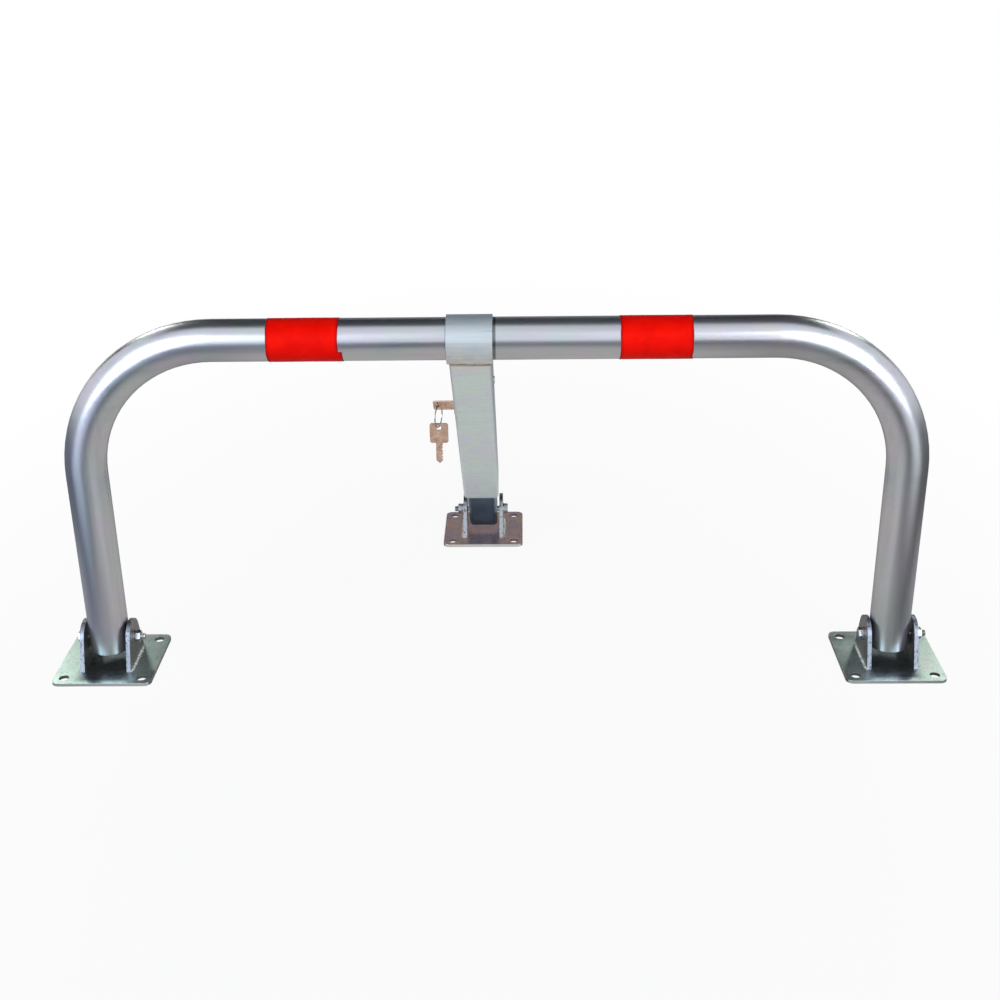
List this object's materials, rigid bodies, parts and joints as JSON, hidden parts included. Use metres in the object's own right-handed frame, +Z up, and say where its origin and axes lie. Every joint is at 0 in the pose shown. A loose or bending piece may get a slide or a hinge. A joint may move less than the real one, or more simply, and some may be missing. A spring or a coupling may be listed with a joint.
{
  "type": "folding parking barrier",
  "caption": "Low folding hoop barrier: a bent tube hoop hinged on front feet, propped by a telescopic strut with a key lock, folds flat towards the front.",
  "frame": {"origin": "centre of the three feet's footprint, on the ground", "axes": "+X along the crossbar, +Y from the hoop back to the rear foot, +Z up"},
  "size_m": [1.0716, 0.494, 0.4389],
  "materials": {
    "hoop_zinc": "satin galvanised tube",
    "foot_zinc": "dull hot-dip zinc with spangle",
    "rear_foot_zinc": "darker zinc in the hoop's shade",
    "strut_zinc": "pale zinc with faint streaks",
    "inner_tube_zinc": "dark oiled zinc",
    "fastener_zinc": "bright zinc plate",
    "lock_steel": "bright plated lock",
    "key_brass": "worn reddish brass",
    "ring_steel": "dull steel wire",
    "red_film": "glossy red adhesive film"
  },
  "bodies": {
    "feet": {"left_foot_plate": "foot_zinc", "left_foot_outer_ear": "foot_zinc", "left_foot_inner_ear": "foot_zinc", "left_foot_welds": "foot_zinc", "left_pivot_bolt": "fastener_zinc", "left_pivot_nut": "fastener_zinc", "left_pivot_washers": "fastener_zinc", "right_foot_plate": "foot_zinc", "right_foot_inner_ear": "foot_zinc", "right_foot_outer_ear": "foot_zinc", "right_foot_welds": "foot_zinc", "right_pivot_bolt": "fastener_zinc", "right_pivot_nut": "fastener_zinc", "right_pivot_washers": "fastener_zinc", "rear_foot_plate": "rear_foot_zinc", "rear_foot_left_ear": "rear_foot_zinc", "rear_foot_right_ear": "rear_foot_zinc", "rear_foot_welds": "rear_foot_zinc", "rear_pivot_bolt": "fastener_zinc", "rear_pivot_nut": "fastener_zinc", "rear_pivot_washers": "fastener_zinc"},
    "hoop": {"hoop_tube": "hoop_zinc", "left_red_band": "red_film", "right_red_band": "red_film"},
    "sleeve": {"collar_ring": "strut_zinc", "strut_sleeve": "strut_zinc", "collar_welds": "strut_zinc", "sleeve_vent_plug": "fastener_zinc", "lock_barrel": "lock_steel", "lock_nut": "lock_steel"},
    "lock_core": {"lock_plug": "lock_steel", "lock_wafers": "lock_steel", "lock_cam": "lock_steel", "cam_screw": "fastener_zinc", "lock_key": "key_brass"},
    "ring": {"key_ring": "ring_steel"},
    "hanging_key": {"spare_key": "key_brass"},
    "inner_strut": {"inner_tube": "inner_tube_zinc"}
  },
  "joints": [
    {"name": "hoop_fold", "type": "hinge", "parent": "feet", "child": "hoop", "pos_m": [0, -0.187, 0.035], "axis": [1, 0, 0], "range_deg": [0, 90]},
    {"name": "collar_turn", "type": "hinge", "parent": "hoop", "child": "sleeve", "pos_m": [-0.026, -0.187, 0.412], "axis": [1, 0, 0], "range_deg": [-45, 0]},
    {"name": "strut_swing", "type": "hinge", "parent": "feet", "child": "inner_strut", "pos_m": [-0.026, 0.19, 0.035], "axis": [1, 0, 0], "range_deg": [0, 45]},
    {"name": "key_turn", "type": "hinge", "parent": "sleeve", "child": "lock_core", "pos_m": [-0.0515, -0.06326, 0.28826], "axis": [1, 0, 0], "range_deg": [0, 90]},
    {"name": "ring_swing", "type": "hinge", "parent": "lock_core", "child": "ring", "pos_m": [-0.0715, -0.06283, 0.28783], "axis": [1, 0, 0], "range_deg": [0, 45]},
    {"name": "spare_key_swing", "type": "hinge", "parent": "ring", "child": "hanging_key", "pos_m": [-0.0715, -0.06283, 0.25983], "axis": [-1, 0, 0], "range_deg": [-30, 30]}
  ],
  "couplings": [
    {"joint": "collar_turn", "follows": "hoop_fold", "ratio": -0.5},
    {"joint": "strut_swing", "follows": "hoop_fold", "ratio": 0.5}
  ]
}
